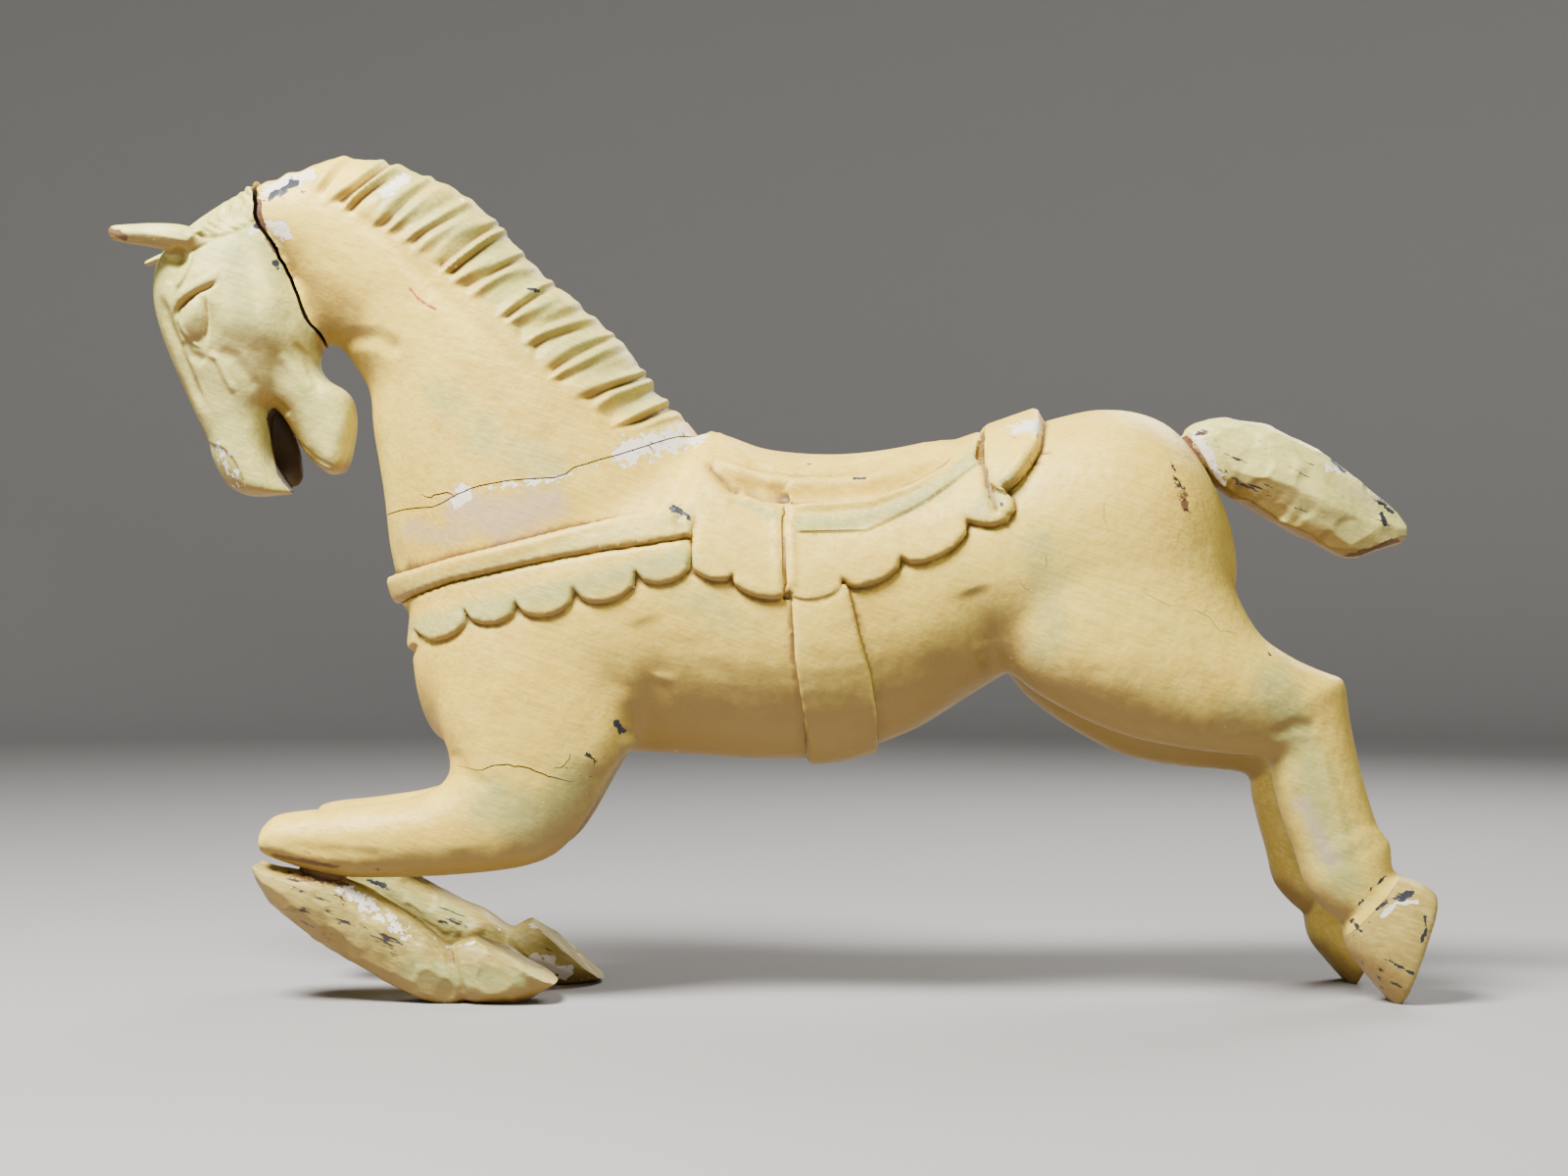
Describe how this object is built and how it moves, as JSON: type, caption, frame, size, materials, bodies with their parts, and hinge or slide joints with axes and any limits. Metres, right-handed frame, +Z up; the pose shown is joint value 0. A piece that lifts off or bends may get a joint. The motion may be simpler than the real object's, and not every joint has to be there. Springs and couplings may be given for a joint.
{
  "type": "carousel horse",
  "caption": "Carved wooden carousel horse at a gallop, with saddle, scalloped blanket and breast collar, standing on bent forelegs and hind toes.",
  "frame": {"origin": "on the floor, under the middle of the horse's bounding box", "axes": "+X from the head to the tail, +Y to the horse's right, the far side, +Z up"},
  "size_m": [1.2196, 0.269, 0.7813],
  "materials": {
    "cream_paint": "aged satin paint over gesso, cream yellow with sage washes",
    "sage_paint": "aged satin paint, cream with a pale sage wash",
    "worn_paint": "rubbed and chipped paint with gesso, dark specks and bare brown wood at the joints"
  },
  "bodies": {
    "root": {"body": "cream_paint", "neck": "cream_paint", "head": "sage_paint", "near_fore_lower_leg": "worn_paint", "far_fore_lower_leg": "worn_paint", "near_hind_hoof": "worn_paint", "tail": "worn_paint"}
  },
  "joints": []
}
